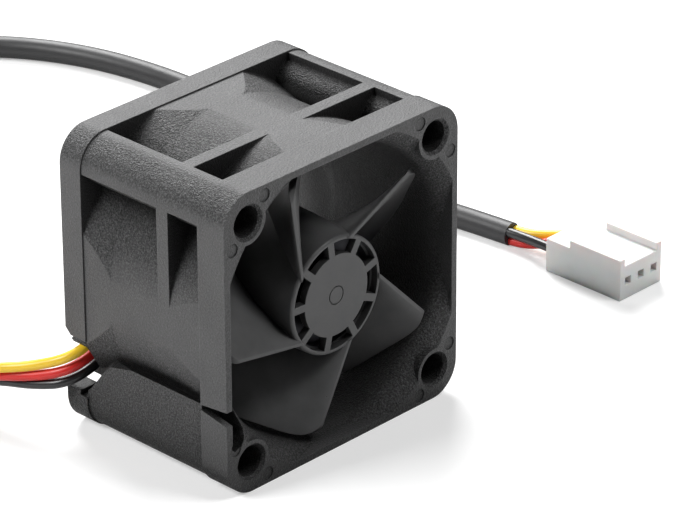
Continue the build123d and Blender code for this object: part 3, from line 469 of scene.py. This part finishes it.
# Painted highlight: the housing's colour is lighter on its edges.
tone = math(tree, "ADD", tone, edge.outputs["Mask"])
# Painted shade: the housing's colour is darker in deep places.
deep = place_group(tree, depth_tree, Distance=0.016, Floor=0.06)
tone = math(tree, "MULTIPLY", tone, deep.outputs["Factor"])
# Painted shade: the colour of the curved duct and the low left wall is made darker.
tone = math(tree, "SUBTRACT", tone, math(tree, "MULTIPLY", coarse_and_shaded.outputs["Mask"], COARSE_PAINTED_SHADE))
link(tree, scaled_color(tree, HOUSING_COLOR, tone), shader.inputs["Base Color"])
gloss = math(tree, "MULTIPLY", grain.outputs["Sparkle"], GLINT_GLOSS)
link(tree, math(tree, "SUBTRACT", HOUSING_ROUGH, gloss), shader.inputs["Roughness"])
coarseness = math(tree, "MULTIPLY", coarse_and_shaded.outputs["Mask"], COARSE_EXTRA_RELIEF)
coarseness = math(tree, "ADD", coarseness, FINE_RELIEF)
relief = math(tree, "MULTIPLY", grain.outputs["Height"], coarseness)
add_bump(tree, shader, relief, 0.00022, rounded=0.0002)
print("material", housing_plastic.name, len(tree.nodes), "nodes")

# %% Impeller plastic
IMPELLER_COLOR = (0.078, 0.078, 0.079)
IMPELLER_ROUGH = 0.42
impeller_plastic, tree, shader, place = start_material(
    "impeller_plastic", IMPELLER_ROUGH, Specular_IOR_Level=0.3,
)
cloud = place_group(tree, cloud_tree, place, Size=260.0, Low=0.85, High=1.15)
grain = place_group(tree, grain_tree, place, Size=9000.0, Softness=0.8)
edge = place_group(tree, edge_tree, Radius=0.0002, Amount=0.45)
# Random cloudiness, and a painted highlight that makes the colour lighter on the edges.
tone = math(tree, "ADD", cloud.outputs["Factor"], edge.outputs["Mask"])
# Painted shade: the impeller's colour is darker in deep places.
deep = place_group(tree, depth_tree, Distance=0.006, Floor=0.3)
tone = math(tree, "MULTIPLY", tone, deep.outputs["Factor"])
link(tree, scaled_color(tree, IMPELLER_COLOR, tone), shader.inputs["Base Color"])
rough = math(tree, "MULTIPLY", cloud.outputs["Factor"], IMPELLER_ROUGH)
link(tree, rough, shader.inputs["Roughness"])
add_bump(tree, shader, grain.outputs["Height"], 0.000006, rounded=0.00015)
print("material", impeller_plastic.name, len(tree.nodes), "nodes")

# %% [markdown]
# ## Metals
# The bearings and the shaft are ground steel, with very fine scratches round the axis. The yoke and the
# core are pressed sheet with a dull, slightly mottled skin. Brass is turned, with fine rings round its
# axis, and solder is bright and softly lumpy. One maker serves them all: a noise that is stretched more
# or less gives scratches, rings or lumps.

# %% Metal maker
ROUGH_SPREAD = 0.2


def metal(name, color, rough, lines, depth, mottle=0.08):
    """A metal whose tool marks are a noise, stretched where the three numbers of lines differ."""
    made, tree, shader, place = start_material(name, rough, metallic=1.0)
    stretch = node(tree, "ShaderNodeMapping", Scale=lines)
    link(tree, place, stretch.inputs["Vector"])
    marks = node(tree, "ShaderNodeTexNoise", Scale=1000.0, Detail=3.0)
    link(tree, stretch.outputs["Vector"], marks.inputs["Vector"])
    cloud = place_group(tree, cloud_tree, place, Size=500.0, Low=1 - mottle, High=1 + mottle)
    link(tree, scaled_color(tree, color, cloud.outputs["Factor"]), shader.inputs["Base Color"])
    varied = math(tree, "MULTIPLY", marks.outputs["Fac"], ROUGH_SPREAD)
    varied = math(tree, "ADD", varied, rough - ROUGH_SPREAD / 2)
    link(tree, varied, shader.inputs["Roughness"])
    add_bump(tree, shader, marks.outputs["Fac"], depth)
    return made


# Each metal has a colour, a roughness, how often the noise repeats along X, Y and Z, the depth of its
# marks in metres and, where it is more than usual, its mottle.
ground_steel = metal("ground_steel", (0.62, 0.62, 0.63), 0.25, (0.3, 8.0, 0.3), 0.000002)
pressed_steel = metal("pressed_steel", (0.05, 0.05, 0.055), 0.5, (3.0, 3.0, 3.0), 0.000005, 0.15)
turned_brass = metal("turned_brass", (0.78, 0.58, 0.28), 0.28, (0.3, 9.0, 0.3), 0.000003)
strip_brass = metal("strip_brass", (0.70, 0.52, 0.25), 0.35, (2.0, 4.0, 2.0), 0.000003)
bright_tin = metal("bright_tin", (0.72, 0.72, 0.70), 0.22, (1.5, 1.5, 1.5), 0.00001, 0.1)
enamelled_copper = metal("enamelled_copper", (0.62, 0.26, 0.09), 0.3, (0.5, 5.0, 0.5), 0.00003, 0.12)
metals = (ground_steel, pressed_steel, turned_brass, strip_brass, bright_tin, enamelled_copper)
print("metals", [made.name for made in metals])

# %% [markdown]
# ## Soft and glossy plastics
# Wire insulation is soft vinyl, drawn through a die: it is smooth, with a very faint waviness and small
# smudges. The plug is natural nylon, milky and a little translucent, which takes some subsurface light.
# Chips, laminate and the bonded magnet are hidden or small, but each still gets its own skin. They
# differ only in colour, gloss and grain, so one maker serves them all.


# %% Plastic maker
def soft_plastic(
    name, color, rough, grain_size, depth, low=0.92, high=1.08, rounded=None, **shader_values,
):
    """A plastic with a fine skin, soft tone changes and varied gloss."""
    made, tree, shader, place = start_material(name, rough, **shader_values)
    grain = place_group(tree, grain_tree, place, Size=grain_size, Softness=0.7)
    cloud = place_group(tree, cloud_tree, place, Size=300.0, Low=low, High=high)
    link(tree, scaled_color(tree, color, cloud.outputs["Factor"]), shader.inputs["Base Color"])
    link(tree, math(tree, "MULTIPLY", cloud.outputs["Factor"], rough), shader.inputs["Roughness"])
    add_bump(tree, shader, grain.outputs["Height"], depth, rounded=rounded)
    return made


# Each plastic has a colour, a roughness, the texture scale of its grain and the grain's depth in metres.
yellow_vinyl = soft_plastic("yellow_vinyl", (0.86, 0.56, 0.03), 0.32, 1800.0, 0.000008)
red_vinyl = soft_plastic("red_vinyl", (0.62, 0.02, 0.016), 0.4, 1800.0, 0.000008)
black_vinyl = soft_plastic("black_vinyl", (0.018, 0.018, 0.019), 0.3, 1800.0, 0.000008)
sleeve_vinyl = soft_plastic("sleeve_vinyl", (0.02, 0.02, 0.021), 0.48, 1100.0, 0.00002)
plug_nylon = soft_plastic(
    "plug_nylon", (0.72, 0.73, 0.72), 0.38, 3500.0, 0.000008, low=0.97, high=1.03, rounded=0.00015,
    Subsurface_Weight=0.25, Subsurface_Scale=0.0015,
)
natural_nylon = soft_plastic("natural_nylon", (0.82, 0.80, 0.72), 0.45, 3000.0, 0.00001)
board_laminate = soft_plastic("board_laminate", (0.03, 0.20, 0.08), 0.3, 2500.0, 0.00001)
chip_epoxy = soft_plastic("chip_epoxy", (0.03, 0.03, 0.031), 0.6, 6000.0, 0.00002)
bonded_magnet = soft_plastic("bonded_magnet", (0.05, 0.047, 0.045), 0.7, 5000.0, 0.00003)
print("material", plug_nylon.name, len(plug_nylon.node_tree.nodes), "nodes")

# %% [markdown]
# ## Dressing the pieces
# Every CAD node takes the material of its slot, and the cords take the slots of the nodes that they
# stand for. We clear what the import brought, so that each node wears one material.

# %% Dress the CAD nodes
SLOT_MATERIALS = {
    "housing_plastic": housing_plastic, "impeller_plastic": impeller_plastic,
    "brass": turned_brass, "bearing_steel": ground_steel, "cage_brass": strip_brass,
    "core_steel": pressed_steel, "coil_enamel": enamelled_copper, "tinned_metal": bright_tin,
    "insulator_plastic": natural_nylon, "board_laminate": board_laminate,
    "chip_epoxy": chip_epoxy, "magnet_rubber": bonded_magnet, "plug_nylon": plug_nylon,
    "sleeve_black": sleeve_vinyl, "wire_yellow": yellow_vinyl,
    "wire_red": red_vinyl, "wire_black": black_vinyl,
}
for entry in frame["record"]["subparts"]:
    mesh = nodes[entry["node"]].data
    mesh.materials.clear()
    mesh.materials.append(SLOT_MATERIALS[entry["material_slot"]])
for colour in WIRES:
    for piece in (wires[colour], wire_ends[colour]):
        piece.data.materials.append(SLOT_MATERIALS[f"wire_{colour}"])
sleeve.data.materials.append(sleeve_vinyl)

# %% [markdown]
# ## The table and the light
# The fan stands on a white sheet, lit for a product picture by three soft lamps: one above and behind,
# for the sheen on its top, one above and in front, and one above its left side. More light would wash
# the black out. So the sheet and the world glow for the rays that come from the camera, and a little for
# reflections: the background is white and the soft shadow still shows.


# %% A helper for the pale background
def background_share(tree, glossy_share):
    """How much of the background a ray sees: all of it directly, only a share in a reflection."""
    rays = tree.nodes.new("ShaderNodeLightPath")
    mirrored = math(tree, "MULTIPLY", rays.outputs["Is Glossy Ray"], glossy_share)
    seen = math(tree, "ADD", rays.outputs["Is Camera Ray"], mirrored)
    return math(tree, "MINIMUM", math(tree, "ADD", seen, rays.outputs["Is Transmission Ray"]), 1.0)


# %% Table
WHITE = (1.0, 1.0, 1.0, 1.0)
SHEET_COLOR = (0.65, 0.65, 0.65, 1.0)
FLOOR_HALF = 1.5
FLOOR_GLOW = 0.38
GLOSSY_SHARE = 0.2
floor_mesh = bpy.data.meshes.new("table_sheet")
sheet_shape = bmesh.new()
bmesh.ops.create_grid(sheet_shape, x_segments=1, y_segments=1, size=FLOOR_HALF)
sheet_shape.to_mesh(floor_mesh)
sheet_shape.free()
table_sheet = bpy.data.objects.new("table_sheet", floor_mesh)
scene.collection.objects.link(table_sheet)
sheet_white, tree, shader, _ = start_material(
    "sheet_white", 0.8, Base_Color=SHEET_COLOR, Specular_IOR_Level=0.2, Emission_Color=WHITE,
)
glow = math(tree, "MULTIPLY", background_share(tree, GLOSSY_SHARE), FLOOR_GLOW)
link(tree, glow, shader.inputs["Emission Strength"])
floor_mesh.materials.append(sheet_white)
print("table sheet", 2 * FLOOR_HALF, "m wide, glow", FLOOR_GLOW)

# %% World
WORLD_AMBIENT = 0.03
GLOSSY_WORLD = 0.10
world = bpy.data.worlds.new("studio")
scene.world = world
world.use_nodes = True
tree = world.node_tree
background = tree.nodes["Background"]
added = math(tree, "MULTIPLY", background_share(tree, GLOSSY_WORLD), 1.0 - WORLD_AMBIENT)
link(tree, math(tree, "ADD", WORLD_AMBIENT, added), background.inputs["Strength"])
background.inputs["Color"].default_value = WHITE
print("world ambient", WORLD_AMBIENT)


# %% Lamps
def soft_lamp(name, place, aim, size, power):
    """A square area lamp that points at a place on the object."""
    data = bpy.data.lights.new(name, "AREA")
    data.shape = "SQUARE"
    data.size = size
    data.energy = power
    lamp = bpy.data.objects.new(name, data)
    lamp.location = place
    lamp.rotation_mode = "QUATERNION"
    lamp.rotation_quaternion = (Vector(aim) - Vector(place)).to_track_quat("-Z", "Y")
    scene.collection.objects.link(lamp)


soft_lamp("back_lamp", place=(0.30, 0.45, 0.50), aim=(0.01, 0.01, 0.02), size=0.40, power=8.5)
soft_lamp("front_lamp", place=(0.20, -0.34, 0.66), aim=(0.0, 0.0, 0.02), size=0.22, power=3.0)
soft_lamp("left_lamp", place=(-0.48, 0.20, 0.48), aim=(0.0, 0.0, 0.02), size=0.22, power=4.0)
scene.view_settings.view_transform = "Standard"

# %% [markdown]
# ## Finish
# Last, Blender updates the scene, so that the new curves take their shape.

# %% Finish
bpy.context.view_layer.update()
